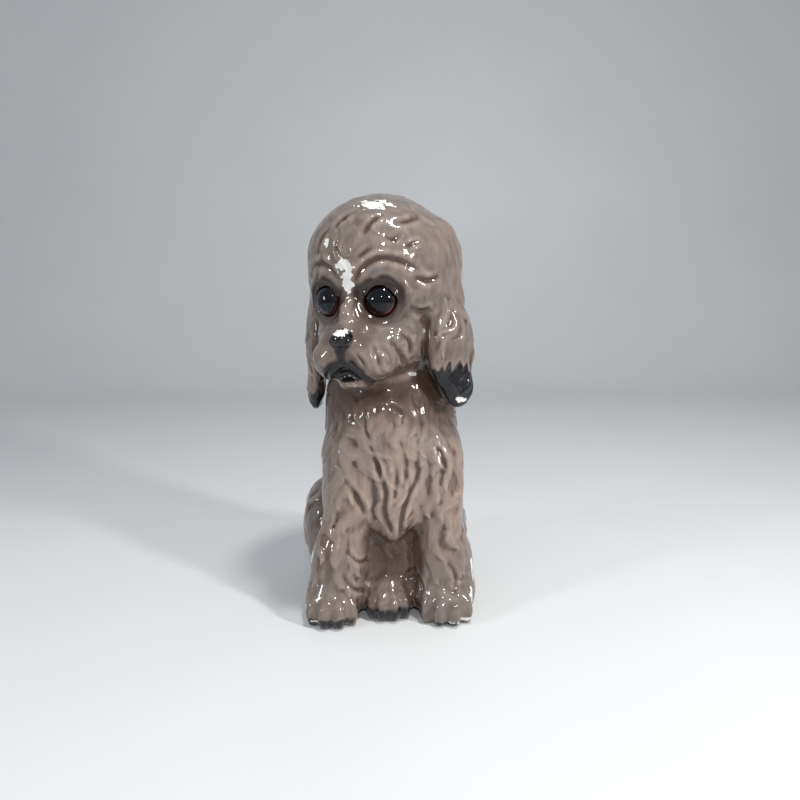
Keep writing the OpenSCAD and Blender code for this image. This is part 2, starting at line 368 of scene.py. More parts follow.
# Single grooves drawn in the hair: marks (x, z) seen from the front, depth, half width.
HEAD_STROKES = [
    ([(5, -4), (9, 3), (15, 8), (22, 11), (30, 10), (37, 7), (41, 3)], 1.4, 1.9),  # left brow
    ([(7, 8), (12, 13), (17, 16)], 0.8, 1.7),
    ([(40, -1), (46, -4), (50, -1)], 1.3, 1.8),
    ([(35, -21), (39, -24), (45, -21), (49, -18)], 1.1, 1.8),
    ([(12, 27), (15, 34), (19, 38)], 1.0, 1.7),
    ([(29, 33), (34, 34), (37, 38)], 0.9, 2.0),
    ([(36, 18), (42, 21)], 0.9, 1.4),
    ([(-5, 24), (-8, 18), (-4, 11)], 0.7, 1.5),
    ([(-20, 10), (-26, 3), (-30, -5)], 0.8, 1.9),
    ([(-6, -3), (-12, 5), (-20, 9), (-29, 7), (-35, 0)], 1.1, 1.9),  # right brow
    ([(-16, 30), (-22, 24), (-24, 15)], 0.8, 1.8),
    ([(0, 40), (-7, 36), (-12, 28)], 0.8, 1.8),
    ([(24, 24), (30, 21), (32, 26)], 0.7, 1.5),
    ([(33, -38), (36, -43), (35, -50)], 1.1, 1.7),
    ([(28, -42), (31, -52), (29, -64)], 1.0, 1.8),
    ([(11, -50), (15, -54), (17, -60)], 0.8, 1.4),
    ([(22, -46), (25, -55), (24, -65)], 0.7, 1.7),
    ([(-26, -44), (-30, -52), (-27, -62)], 0.9, 1.8),
    ([(40, -25), (41, -36), (38, -50), (33, -68)], 1.7, 2.3),
    ([(-38, -26), (-40, -38), (-37, -52), (-32, -66)], 1.7, 2.3),
]
CHEST_STROKES = [
    ([(-14, 128), (-10, 112), (-3, 96), (-6, 82), (0, 66), (4, 54)], 1.3, 1.8),  # tuft, right edge
    ([(19, 130), (20, 106), (12, 92), (7, 78), (6, 64), (4, 55)], 1.3, 1.8),  # tuft, left edge
    ([(2, 118), (5, 106), (2, 92)], 0.8, 1.5),
    ([(10, 122), (12, 110), (8, 100)], 0.7, 1.3),
    ([(-31, 103), (-24, 92), (-19, 79)], 1.1, 1.7),
    ([(-13, 119), (-8, 114), (-9, 105)], 0.8, 1.5),
    ([(29, 127), (35, 122), (38, 110), (34, 101)], 1.0, 1.7),
    ([(-16, 153), (-18, 142), (-14, 132)], 0.9, 1.5),
    ([(1, 156), (9, 151), (7, 142)], 0.8, 1.4),
    ([(-31, 53), (-24, 44), (-16, 43)], 0.8, 1.5),
    ([(-34, 37), (-28, 27), (-19, 21)], 0.8, 1.5),
    ([(14, 60), (12, 44), (17, 30)], 1.1, 2.0),
    ([(15, 33), (22, 26), (19, 17)], 0.8, 1.4),
    ([(40, 44), (46, 34), (44, 24)], 0.7, 1.4),
]


def draw_strokes(points, strokes, parts, to_figure):
    """How far the drawn grooves sink into the skin, with a low lip on each side."""
    sunk = np.zeros(len(points))
    for marks, depth, half in strokes:
        path = rounded(to_figure([(x, skin_y(x, z, parts, to_figure), z) for x, z in marks]))
        d, share = along_line(points, path, 6 * half)
        taper = np.sin(np.pi * np.clip(0.08 + 0.84 * share, 0, 1)) ** 0.7
        groove = np.exp(-(d / half) ** 2)
        lip = 0.45 * np.exp(-((d - 2.1 * half) / (1.2 * half)) ** 2)
        sunk += depth * taper * (groove - lip)
    return sunk


# ---- the skin mesh

def lattice(low, high, step):
    counts = np.ceil((high - low) / step).astype(int) + 1
    return [low[i] + np.arange(counts[i]) * step for i in range(3)]


def figure_mesh():
    """The smooth figure's skin as points and quads, found on a fine lattice."""
    margin = 8.0  # room for the lattice around the CAD model's box
    low, high = np.array(CAD_BOX[0]) / MM - margin, np.array(CAD_BOX[1]) / MM + margin
    coarse = 4 * VOXEL
    axes = lattice(low, high, coarse)
    grid = np.stack(np.meshgrid(*axes, indexing="ij"), -1)
    rough = figure_gap(grid.reshape(-1, 3)).reshape(grid.shape[:3])
    field = np.repeat(np.repeat(np.repeat(rough, 4, 0), 4, 1), 4, 2).astype(np.float32)
    near = np.argwhere(np.abs(rough) < 1.6 * coarse)
    offsets = np.stack(np.meshgrid(*[np.arange(4)] * 3, indexing="ij"), -1).reshape(-1, 3)
    for batch in np.array_split(near, max(1, len(near) // 4000)):
        index = (batch[:, None, :] * 4 + offsets).reshape(-1, 3)
        field[tuple(index.T)] = figure_gap(low + index * VOXEL)
    volume = openvdb.FloatGrid(background=FAR)
    volume.copyFromArray(np.clip(field, -4 * VOXEL, 4 * VOXEL))
    points, _, quads = volume.convertToPolygons(isovalue=0.0, adaptivity=0.0)
    return low + points.astype(float) * VOXEL, quads


def edges_of(quads):
    pairs = np.concatenate([quads[:, [0, 1]], quads[:, [1, 2]], quads[:, [2, 3]], quads[:, [3, 0]]])
    return np.unique(np.sort(pairs, axis=1), axis=0)


def spread(values, edges, rounds):
    """Values evened out between neighbouring points."""
    count = len(values)
    degree = np.maximum(np.bincount(edges.ravel(), minlength=count), 1)[:, None]
    columns = np.array(values, float).reshape(count, -1)
    for _ in range(rounds):
        total = np.empty_like(columns)
        for k in range(columns.shape[1]):
            total[:, k] = (
                np.bincount(edges[:, 0], columns[edges[:, 1], k], count)
                + np.bincount(edges[:, 1], columns[edges[:, 0], k], count)
            )
        columns = (columns + total / degree) / 2
    return columns.reshape(values.shape)


def normals_of(points, quads):
    a, b, c, d = (points[quads[:, k]] for k in range(4))
    face = np.cross(c - a, d - b)
    total = np.empty_like(points)
    for k in range(3):
        total[:, k] = sum(np.bincount(quads[:, j], face[:, k], len(points)) for j in range(4))
    return unit(total)


# ---- locks of hair

def wander(points, scale, seed):
    """A smooth, aimless field around zero that varies over the given length."""
    rng = np.random.default_rng(seed)
    total = np.zeros(len(points))
    for _ in range(6):
        direction = unit(rng.normal(size=3)) * 2 * math.pi / (scale * rng.uniform(0.7, 1.4))
        total += np.sin(points @ direction + rng.uniform(0, 2 * math.pi))
    return total / 3


def regions_of(points):
    """How much each point belongs to each part of the dog."""
    sets = {
        "torso": TORSO, "haunch": HAUNCHES, "leg": LEGS, "paw": PAWS, "tail": TAIL,
        "head": HEAD, "face": FACE, "nose": NOSE, "ear_left": EAR_LEFT, "ear_right": EAR_RIGHT,
    }
    gaps = {name: gap(points, parts) for name, parts in sets.items()}
    nearest = np.minimum.reduce(list(gaps.values()))
    weights = {name: np.exp(-(g - nearest) / 2.5) for name, g in gaps.items()}
    total = sum(weights.values())
    return {name: w / total for name, w in weights.items()}


def hair_flow(points, normals, region):
    """The way the hair lies at each point, along the skin."""
    q = to_head(points)
    side = np.tanh(q[:, 0] / 8)
    zero, one = np.zeros(len(points)), np.ones(len(points))
    crown = np.stack([q[:, 0] * 0.9, q[:, 1] - 12, -18 * one], 1)
    nose = q - np.array([0, -60, -34])
    nose[:, 2] -= 10
    ear = np.stack([0.15 * side, -0.1 * one, -one], 1)
    down = np.stack([-0.006 * points[:, 0], 0.25 * np.tanh(points[:, 1] / 20), -one], 1)
    leg = np.stack([0.35 * np.tanh(points[:, 0] / 10) * smoothstep(60, 20, points[:, 2]), zero, -one], 1)
    back = np.stack([zero, 0.5 * one, -one], 1)
    head_way = (
        unit(crown) * region["head"][:, None]
        + unit(nose) * (region["face"] + region["nose"])[:, None]
        + ear * (region["ear_left"] + region["ear_right"])[:, None]
    )
    body_way = (
        unit(down) * region["torso"][:, None]
        + unit(leg) * (region["leg"] + region["paw"])[:, None]
        + unit(back) * (region["haunch"] + region["tail"])[:, None]
    )
    way = head_way @ HEAD_AXES.T + body_way
    way -= (way * normals).sum(1, keepdims=True) * normals
    way = unit(way)
    curl = 0.55 * wander(points, 55, 5) + 0.55 * region["head"] * wander(points, 30, 6)
    return np.cos(curl)[:, None] * way + np.sin(curl)[:, None] * np.cross(normals, way)


LOCK_SIZES = {
    # length, half width, height
    "torso": (34, 5.4, 1.8), "haunch": (34, 5.2, 1.7), "leg": (30, 5.2, 1.5), "paw": (12, 3.4, 0.5),
    "tail": (22, 4.8, 1.7), "head": (22, 5.4, 0.8), "face": (18, 4.0, 0.7), "nose": (6, 2.0, 0.0),
    "ear_left": (32, 4.4, 1.7), "ear_right": (32, 4.4, 1.7),
}


def lock_sizes(region):
    return sum(region[name][:, None] * np.array(size) for name, size in LOCK_SIZES.items())


def seeds_for(points, sizes, order):
    """Points spread out so that locks overlap like shingles."""
    cell = 3.0
    taken = {}
    chosen = []
    for i in order:
        apart = 0.74 * math.sqrt(sizes[i, 0] * sizes[i, 1])
        key = tuple((points[i] // cell).astype(int))
        reach = int(apart // cell) + 1
        near = (
            j for dx, dy, dz in product(range(-reach, reach + 1), repeat=3)
            for j in taken.get((key[0] + dx, key[1] + dy, key[2] + dz), ())
        )
        if all(((points[i] - points[j]) ** 2).sum() >= apart * apart for j in near):
            taken.setdefault(key, []).append(i)
            chosen.append(i)
    return np.array(chosen)


class Skin:
    """The smooth skin with its directions, for finding the way across it."""

    def __init__(self, points, quads):
        self.points = points
        self.quads = quads
        self.edges = edges_of(quads)
        self.normals = normals_of(points, quads)
        self.region = regions_of(points)
        self.flow = hair_flow(points, self.normals, self.region)
        self.tree = kd_tree(points)

    def nearest(self, places):
        return np.array([self.tree.find(p)[1] for p in places])


def trace_locks(skin, starts, sizes, steps=9):
    """Wavy lines across the skin, one from each start, as (lock, step, xyz)."""
    count = len(starts)
    bend = RANDOM.normal(0, 0.22, count)
    wave = RANDOM.uniform(0.4, 0.9, count) * RANDOM.choice([-1, 1], count)
    phase = RANDOM.uniform(0, math.pi, count)
    length = sizes[starts, 0] * RANDOM.uniform(0.75, 1.3, count)
    at = starts.copy()
    place = skin.points[starts]
    path = [place]
    for k in range(steps - 1):
        normal, flow = skin.normals[at], skin.flow[at]
        across = np.cross(normal, flow)
        angle = bend + wave * np.sin(phase + 2 * math.pi * k / (steps - 1))
        way = np.cos(angle)[:, None] * flow + np.sin(angle)[:, None] * across
        place = place + way * (length / (steps - 1))[:, None]
        at = skin.nearest(place)
        offset = ((place - skin.points[at]) * skin.normals[at]).sum(1)
        place = place - offset[:, None] * skin.normals[at]
        path.append(place)
    return np.stack(path, 1)


class Cells:
    """Points sorted into cubes, to find those near a line quickly."""

    def __init__(self, points, size):
        self.size = size
        self.low = points.min(0)
        keys = ((points - self.low) // size).astype(int)
        self.span = keys.max(0) + 1
        flat = np.ravel_multi_index(keys.T, self.span)
        self.order = np.argsort(flat, kind="stable")
        self.starts = np.searchsorted(flat[self.order], np.arange(np.prod(self.span) + 1))

    def within(self, low, high):
        a = np.clip(((low - self.low) // self.size).astype(int), 0, self.span - 1)
        b = np.clip(((high - self.low) // self.size).astype(int), 0, self.span - 1)
        found = []
        for x in range(a[0], b[0] + 1):
            for y in range(a[1], b[1] + 1):
                first = np.ravel_multi_index((x, y, a[2]), self.span)
                last = np.ravel_multi_index((x, y, b[2]), self.span)
                found.append(self.order[self.starts[first]:self.starts[last + 1]])
        return np.concatenate(found)


def lock_relief(points, normals, near, path, width, height, strands):
    """Height of one lock at the nearby points: rounded across, rising towards its tip."""
    p = points[near]
    a, b = path[:-1], path[1:]
    along = b - a
    length2 = np.maximum((along * along).sum(1), 1e-9)
    rel = p[:, None, :] - a[None]
    t = np.clip((rel * along).sum(2) / length2, 0, 1)
    off = rel - t[..., None] * along
    d2 = (off * off).sum(2)
    k = d2.argmin(1)
    rows = np.arange(len(near))
    v = (k + t[rows, k]) / len(a)
    off = off[rows, k]
    n = normals[near]
    lift = (off * n).sum(1)
    across = np.cross(n, along[k] / np.sqrt(length2[k])[:, None])
    u = (off * across).sum(1)
    half = width * np.minimum(1, (v / 0.22) ** 0.6) * np.clip(1 - v ** 3, 0, 1) ** 0.7
    q = u / np.maximum(half, 1e-3)
    shape = np.clip(1 - q * q, 0, 1) ** 0.62
    rise = 0.30 + 0.70 * v
    strand = 1 - 0.24 * (0.5 - 0.5 * np.cos(strands * math.pi * q))
    relief = height * shape * rise * strand
    relief[(np.abs(lift) > 5) | (np.sqrt(d2[rows, k]) > 1.2 * width + 1)] = 0
    return relief


def hair_relief(skin):
    """How far the hair stands above the smooth skin at each point."""
    sizes = lock_sizes(skin.region)
    order = RANDOM.permutation(len(skin.points))
    allowed = (sizes[order, 2] > 0.35) & (skin.points[order, 2] > 3)
    starts = seeds_for(skin.points, sizes, order[allowed])
    paths = trace_locks(skin, starts, sizes)
    cells = Cells(skin.points, 6.0)
    relief = np.zeros(len(skin.points))
    for i, start in enumerate(starts):
        path = paths[i]
        width = sizes[start, 1] * RANDOM.uniform(0.7, 1.25)
        height = sizes[start, 2] * RANDOM.uniform(0.6, 1.15)
        strands = RANDOM.integers(2, 5)
        near = cells.within(path.min(0) - width, path.max(0) + width)
        made = lock_relief(skin.points, skin.normals, near, path, width, height, strands)
        relief[near] = np.maximum(relief[near], made)
    return relief


def bare_skin(points):
    """Zero at the eyes, nose, mouth and base, where no hair is modelled, one elsewhere."""
    keep = np.ones(len(points))
    for side in (1, -1):
        ball = np.linalg.norm(points - eye_centre(side), axis=1)
        keep *= smoothstep(EYE_R + 3, EYE_R + 8, ball)
    nose = np.linalg.norm(points - from_head(NOSE_AT), axis=1)
    keep *= smoothstep(8.5, 13, nose)
    for path, *_ in GROOVES:
        keep *= smoothstep(1.5, 5, line_gap(points, path, 8))
    for x, y, *_ in TOE_PAINT:
        toe = np.hypot(points[:, 0] - x, points[:, 1] - y + 13)
        keep *= 1 - (1 - smoothstep(10, 18, toe)) * smoothstep(26, 14, points[:, 2])
    return keep * smoothstep(1.0, 4.0, points[:, 2])


# ---- paint masks

# used as painted shade: the glaze darkens where the figure closes in the view
def closed_in(skin, reach=48.0, rays=20):
    """How much of the view from each point is blocked by the figure itself, from 0 to 1."""
    tree = BVHTree.FromPolygons(skin.points.tolist(), skin.quads.tolist())
    picked = np.arange(0, len(skin.points), round(14 / VOXEL ** 2))
    turns = np.arange(rays) * math.pi * (3 - math.sqrt(5))
    height = 1 - (2 * np.arange(rays) + 1) / rays
    flat = np.sqrt(1 - height ** 2)
    ball = np.stack([flat * np.cos(turns), flat * np.sin(turns), height], 1) * 0.97
    blocked = np.zeros(len(picked))
    for k, i in enumerate(picked):
        start = skin.points[i] + 0.6 * skin.normals[i]
        for way in skin.normals[i] + ball:
            if tree.ray_cast(start, way, reach)[0] is not None:
                blocked[k] += 1 / rays
    near = kd_tree(skin.points[picked])
    index = np.array([near.find(p)[1] for p in skin.points])
    return spread(blocked[index], skin.edges, FINE)


def region_sum(skin, *names):
    return sum(skin.region[name] for name in names)


def shade_paint(skin, q, fuzz):
    """Painted shade on the haunches, base and paws; a greyer, darker tone on the head and ear ends."""
    y, z = skin.points[:, 1], skin.points[:, 2]
    # painted shade: the haunches and tail, the low base and the lower legs and paws are darkened where
    # less light falls
    behind = 0.9 * region_sum(skin, "haunch", "tail")
    base = 0.6 * smoothstep(75, 15, z) * smoothstep(-25, 5, y)
    head = 0.7 * smoothstep(172, 196, z)
    paws = 0.75 * smoothstep(95, 20, z)
    ear_ends = 0.5 * region_sum(skin, "ear_left", "ear_right") * smoothstep(-35, -75, q[:, 2])
    temples = 0.5 * smoothstep(24, 40, np.abs(q[:, 0]) + 2 * fuzz) * smoothstep(-8, -26, q[:, 2])
    sides = ear_ends + temples * region_sum(skin, "head", "face")
    return np.clip(behind + base + head + paws + sides + 0.2 * fuzz, 0, 1)


def brown_and_painted_shade(skin, q, mouth, fuzz):
    """Brown airbrush by the muzzle, nose and ear roots; painted shade in hollows, under the jaw, between
    the legs.
    """
    x, y, z = skin.points.T
    collar = region_sum(skin, "torso") * smoothstep(128, 167, z + 0.3 * np.abs(x) + 3 * fuzz)
    inner_leg = smoothstep(-50, -34, y) * smoothstep(34, 22, np.abs(x + 2))
    inner_leg = inner_leg * smoothstep(84, 50, z + 3 * fuzz)
    jaw = smoothstep(205, 190, z) * smoothstep(160, 166, z)
    jaw = jaw * smoothstep(-0.15, -0.75, skin.normals[:, 2]) * region_sum(skin, "head", "face")
    ear_root = smoothstep(7, 2, line_gap(q, EAR_ROOT, 10) + fuzz)
    mirrored = np.column_stack([np.abs(q[:, 0]), q[:, 1], q[:, 2]])
    beside_nose = smoothstep(14, 5, line_gap(mirrored, INNER_CHEEK, 16) + 1.5 * fuzz)
    muzzle = smoothstep(9, 3, mouth + 1.5 * fuzz)
    # closed_in, the collar, the inner legs and the jaw's underside are painted shade; the rest is brown
    # airbrush
    return np.maximum.reduce([
        closed_in(skin), 0.40 * collar, 0.42 * inner_leg, 0.30 * ear_root,
        0.34 * jaw, 0.28 * beside_nose, 0.34 * muzzle,
    ])


def black_paint(skin, q, mouth, fuzz):
    """Black enamel on the nose, the mouth, the ears' ends and the toes."""
    points = skin.points
    x, y, z = q.T
    black = smoothstep(9.5, 7.5, np.linalg.norm((q - NOSE_AT) / [1.0, 1.0, 0.85], axis=1))
    black = np.maximum(black, smoothstep(5.6, 1.4, mouth + fuzz))
    inside = (z < -57) & (z > -73) & (np.abs(x) < 17) & (y < -40)
    under_lip = smoothstep(-54 - 0.75 * np.abs(x), -58 - 0.75 * np.abs(x), z)
    black = np.maximum(black, 0.9 * inside * under_lip * smoothstep(-70, -66, z))
    streak = 4.5 * wander(points * [1, 1, 0.16], 4.5, 21) + 3 * fuzz
    for ear, top, bottom, ragged in (("ear_left", -57, -66, 1.0), ("ear_right", -83, -92, 0.5)):
        on_ear = smoothstep(0.5, 0.75, region_sum(skin, ear))
        black = np.maximum(black, smoothstep(top, bottom, z + ragged * streak) * on_ear)
    for paw_x, paw_y, reach, top in TOE_PAINT:
        aside = np.abs(points[:, 0] - paw_x)
        ahead = paw_y - points[:, 1]
        tip = smoothstep(reach - 10, reach - 4, ahead - 0.15 * aside + fuzz)
        tip = tip * smoothstep(top, 0.4 * top, points[:, 2] + fuzz)
        black = np.maximum(black, tip * (np.hypot(aside, ahead) < reach + 6))
    return black


def socket_paint(points, fuzz):
    """The dark ring around each eye, stronger above it."""
    socket = np.zeros(len(points))
    for side in (1, -1):
        rel = points - eye_centre(side)
        above = 0.55 + 0.45 * smoothstep(-7, 3, rel[:, 2])
        far = np.linalg.norm(rel, axis=1) + fuzz
        socket = np.maximum(socket, above * smoothstep(EYE_R + 9, EYE_R + 5, far))
    return socket


def paint_masks(skin, relief):
    """Where the airbrush, the painted shade, the black enamel and the chips go, as values from 0 to 1.
    """
    points = skin.points
    q = to_head(points)
    fuzz = wander(points, 7, 3) * 1.2
    mouth = np.minimum.reduce([line_gap(points, path, 14) for path, *_ in MOUTH_LINES])
    mean = spread(relief, skin.edges, FINE)
    broad = spread(mean, skin.edges, 4 * FINE)
    return {
        "hollow": brown_and_painted_shade(skin, q, mouth, fuzz),
        "groove": np.clip((mean - relief) * 1.6, 0, 1),
        "ridge": np.clip((relief - mean) * 1.4, 0, 1),
        "valley": spread(np.clip(broad - relief, 0, 1), skin.edges, 9),
        "shade": shade_paint(skin, q, fuzz),
        "black": black_paint(skin, q, mouth, fuzz),
        "socket": socket_paint(points, fuzz),
        "chip": chip_mask(points, q),
    }


CHIPS = [
    # centre in the head frame, half sizes
    ((-2, -57, 6), (5.6, 14, 4.4)), ((0, -55, -4), (3.6, 14, 8.0)), ((11, -36, 46), (9.5, 14, 3.2)),
    ((-15.5, -54, 20), (1.7, 14, 4.2)), ((1, -70, -35.2), (5.0, 14, 2.0)),
    ((62, -14, -84), (3.0, 14, 2.0)), ((31, -24, -67), (2.6, 14, 1.2)),
    # the streak on the left ear's outer edge below is part chip, part painted highlight
    ((64, -16, -50), (1.6, 4, 5)),
]
EDGE_MARKS = [
    # white marks on the front legs' outer edges and the paws' bottom rims, drawn like the chips: centre
    # in the figure frame, half sizes
    ((59, -38, 36), (2.2, 2.2, 9)), ((57, -46, 18), (2.0, 2.0, 6)), ((48, -54, 4), (10, 6, 1.4)),
    ((-58, -38, 44), (1.8, 1.6, 7)), ((-50, -57, 5), (7, 5, 1.2)),
]


def chip_mask(points, q):
    """Bare white body: chips where the glaze has come away, and white marks on edges."""
    chip = np.zeros(len(points))
    rough = wander(points, 3.2, 11) * 0.30 + wander(points, 7.5, 12) * 0.28
    for at, chips in ((q, CHIPS), (points, EDGE_MARKS)):
        for centre, half in chips:
            far = np.linalg.norm((at - centre) / half, axis=1)
            chip = np.maximum(chip, smoothstep(1.06, 0.94, far + rough))
    return chip


# ---- meshes

def mesh_object(name, points, faces):
    mesh = bpy.data.meshes.new(name)
    mesh.from_pydata((np.asarray(points) * MM).tolist(), [], [tuple(f) for f in faces])
    mesh.update()
    obj = bpy.data.objects.new(name, mesh)
    bpy.context.scene.collection.objects.link(obj)
    mesh.polygons.foreach_set("use_smooth", [True] * len(mesh.polygons))
    return obj


def box_object(name, low, high, axes=None, at=None):
    """A closed block between two corners, or in the head frame when asked."""
    corners = np.array([
        [x, y, z] for x in (low[0], high[0]) for y in (low[1], high[1]) for z in (low[2], high[2])
    ], float)
    if axes is not None:
        corners = corners @ axes.T + at
    faces = [(0, 1, 3, 2), (4, 6, 7, 5), (0, 4, 5, 1), (2, 3, 7, 6), (0, 2, 6, 4), (1, 5, 7, 3)]
    return mesh_object(name, corners, faces)


def boolean(obj, other, operation):
    modifier = obj.modifiers.new("cut", "BOOLEAN")
    modifier.operation = operation
    modifier.solver = "MANIFOLD"
    modifier.object = other
    with bpy.context.temp_override(object=obj, active_object=obj):
        bpy.ops.object.modifier_apply(modifier="cut")


def discard(*objects):
    for obj in objects:
        mesh = obj.data
        bpy.data.objects.remove(obj)
        bpy.data.meshes.remove(mesh)


def split_off(whole, name, low, high, axes=None, at=None):
    """Cuts the block between two corners out of the whole, as a piece of its own."""
    block = box_object("block", low, high, axes, at)
    piece = whole.copy()
    piece.data = whole.data.copy()
    piece.name = piece.data.name = name
    bpy.context.scene.collection.objects.link(piece)
    boolean(piece, block, "INTERSECT")
    boolean(whole, block, "DIFFERENCE")
    discard(block)
    return piece


def read(items, field, width, kind=np.float32):
    values = np.empty(len(items) * width, kind)
    items.foreach_get(field, values)
    return values.reshape(len(items), width) if width > 1 else values


def paint(obj, tree, masks, normals):
    """Copies the paint masks and shading normals from the nearest points of the uncut skin."""
    mesh = obj.data
    found = [tree.find(p) for p in read(mesh.vertices, "co", 3) / MM]
    index = np.array([hit[1] for hit in found])
    off = np.array([hit[2] for hit in found])
    set_marks(mesh, {name: values[index] for name, values in masks.items()})
    mesh.polygons.foreach_set("use_smooth", [True] * len(mesh.polygons))
    corner = read(mesh.loops, "vertex_index", 1, np.int32)
    own = np.repeat(read(mesh.polygons, "normal", 3), read(mesh.polygons, "loop_total", 1, np.int32), 0)
    skin = normals[index][corner]
    outer = ((skin * own).sum(1) > 0.45) & (off[corner] < 1.5 * VOXEL)
    mesh.normals_split_custom_set(np.where(outer[:, None], skin, own).tolist())


# ---- materials

class Nodes:
    """Short names for building one node tree."""

    def __init__(self, name):
        self.material = bpy.data.materials.new(name)
        self.material.use_nodes = True
        self.tree = self.material.node_tree
        self.shader = self.tree.nodes["Principled BSDF"]

    def feed(self, socket, value):
        """Gives a socket a number, a colour or another node's output."""
        if isinstance(value, (int, float)):
            socket.default_value = value
        elif isinstance(value, tuple):
            socket.default_value = (*value, 1)
        else:
            self.tree.links.new(value, socket)

    def node(self, kind, inputs=None, **settings):
        made = self.tree.nodes.new(kind)
        for key, value in settings.items():
            setattr(made, key, value)
        for key, value in (inputs or {}).items():
            self.feed(made.inputs[key], value)
        return made

    def attribute(self, name):
        return self.node("ShaderNodeAttribute", attribute_name=name).outputs["Fac"]

    def noise(self, scale, detail=4.0, roughness=0.55, warp=0.0, tall=1.0):
        """Noise in the figure's own space, drawn out upwards by the given factor."""
        place = self.node("ShaderNodeTexCoord").outputs["Object"]
        squeeze = self.node("ShaderNodeMapping", {"Vector": place})
        squeeze.inputs["Scale"].default_value = (1, 1, 1 / tall)
        return self.node("ShaderNodeTexNoise", {
            "Vector": squeeze.outputs["Vector"], "Scale": scale, "Detail": detail,
            "Roughness": roughness, "Distortion": warp,
        }).outputs["Fac"]

    def ramp(self, value, low, high):
        inputs = {"Value": value, "From Min": low, "From Max": high}
        made = self.node("ShaderNodeMapRange", inputs, interpolation_type="SMOOTHSTEP")
        return made.outputs["Result"]

    def math(self, operation, a, b):
        made = self.node("ShaderNodeMath", operation=operation)
        self.feed(made.inputs[0], a)
        self.feed(made.inputs[1], b)
        return made.outputs["Value"]

    def mix(self, factor, a, b):
        made = self.node("ShaderNodeMix", data_type="RGBA")
        for key, value in (("Factor", factor), ("A", a), ("B", b)):
            self.feed(next(s for s in made.inputs if s.name == key and s.enabled), value)
        return next(s for s in made.outputs if s.enabled)

    def set(self, name, value):
        self.feed(self.shader.inputs[name], value)


def glaze(name, warm=(0.218, 0.155, 0.124), cool=(0.182, 0.151, 0.133)):
    """Airbrushed glaze over a white body: warm beige, brown and painted shade in the hollows, black
    enamel.
    """
    n = Nodes(name)
    cloud = n.ramp(n.noise(16, 3), 0.38, 0.62)
    mottle = n.noise(140, 5)
    clean = n.mix(cloud, warm, cool)
    # the shade mask mixes painted shade and a greyer tone into the base colour
    base = n.mix(n.math("MULTIPLY", n.attribute("shade"), 0.65), clean, (0.070, 0.061, 0.057))
    pale = n.mix(n.math("MULTIPLY", n.attribute("ridge"), 0.6), base, (0.36, 0.29, 0.24))
    strands = n.noise(230, 3, warp=0.5, tall=5)
    fur = n.math("MULTIPLY", n.ramp(strands, 0.42, 0.62), 0.25)
    soft = n.ramp(n.math("ADD", n.attribute("valley"), fur), 0.12, 0.72)
    airbrush = n.mix(n.math("MULTIPLY", soft, 0.85), pale, (0.085, 0.050, 0.036))
    streak = n.math("MULTIPLY", n.ramp(n.attribute("groove"), 0.10, 0.75), n.ramp(mottle, 0.15, 0.55))
    lined = n.mix(n.math("MULTIPLY", streak, 0.9), airbrush, (0.048, 0.027, 0.020))
    # painted shade where the figure is closed in, under the jaw and between the legs, with brown
    # airbrush by the muzzle
    hollow = n.ramp(n.attribute("hollow"), 0.06, 0.42)
    shaded = n.mix(n.math("MULTIPLY", hollow, 0.88), lined, (0.042, 0.023, 0.017))
    socket = n.mix(n.math("MULTIPLY", n.attribute("socket"), 0.95), shaded, (0.016, 0.009, 0.008))
    edge = n.math("ADD", n.attribute("black"), n.math("MULTIPLY", n.math("SUBTRACT", mottle, 0.5), 0.5))
    black = n.math("MULTIPLY", n.ramp(edge, 0.30, 0.80), 0.98)
    enamel = n.mix(black, socket, (0.003, 0.003, 0.005))
    nick = n.math("MULTIPLY", n.noise(520, 2), n.ramp(n.attribute("ridge"), 0.35, 0.8))
    nicks = n.ramp(n.math("MULTIPLY", nick, n.ramp(n.noise(45, 2), 0.52, 0.62)), 0.60, 0.66)
    chip = n.math("MAXIMUM", n.ramp(n.attribute("chip"), 0.35, 0.65), nicks)
    n.set("Base Color", n.mix(chip, enamel, (0.62, 0.61, 0.59)))
    n.set("Roughness", n.math("ADD", 0.34, n.math("MULTIPLY", chip, 0.35)))
    n.set("Coat Weight", n.math("SUBTRACT", 0.9, n.math("MULTIPLY", chip, 0.8)))
    n.set("Coat Roughness", 0.05)
    n.set("Coat IOR", 1.45)
    n.set("Specular IOR Level", 0.06)
    height = n.math("ADD", n.math("MULTIPLY", n.noise(170, 3, warp=0.6), 0.5), strands)
    height = n.math("SUBTRACT", height, n.math("MULTIPLY", chip, 0.6))
    bump = n.node("ShaderNodeBump", {"Height": height, "Strength": 0.4, "Distance": 0.0005})
    n.set("Normal", bump.outputs["Normal"])
    return n.material


def eye_glass():
    """Clear glass, blue-black in its middle where the pupil is."""
    n = Nodes("lens_glass")
    pupil_edge = n.ramp(n.attribute("iris"), 0.66, 0.78)
    n.set("Base Color", n.mix(pupil_edge, (0.025, 0.04, 0.10), (0.40, 0.27, 0.25)))
    n.set("Roughness", 0.0)
    n.set("IOR", 1.4)
    n.set("Transmission Weight", 1.0)
    return n.material


def eye_paint():
    """A dark brown iris round a blue-black pupil; its red-brown bottom rim is painted refracted light.
    """
    n = Nodes("iris_paint")
    out = n.attribute("iris")
    # painted light: the red-brown at the bottom of the iris stands for light gathered there through the
    # glass
    lower = n.math("MULTIPLY", n.ramp(n.attribute("low"), 0.15, 0.75), n.ramp(out, 0.64, 0.85))
    brown = n.mix(n.ramp(out, 0.58, 0.98), (0.016, 0.009, 0.010), (0.030, 0.014, 0.012))
    red = n.mix(lower, brown, (0.20, 0.034, 0.022))
    fibres = n.mix(n.math("MULTIPLY", n.noise(600, 4), 0.4), red, (0.012, 0.006, 0.006))
    n.set("Base Color", n.mix(n.ramp(out, 0.66, 0.78), (0.004, 0.006, 0.016), fibres))
    n.set("Roughness", 0.5)
    n.set("Specular IOR Level", 0.05)
    return n.material


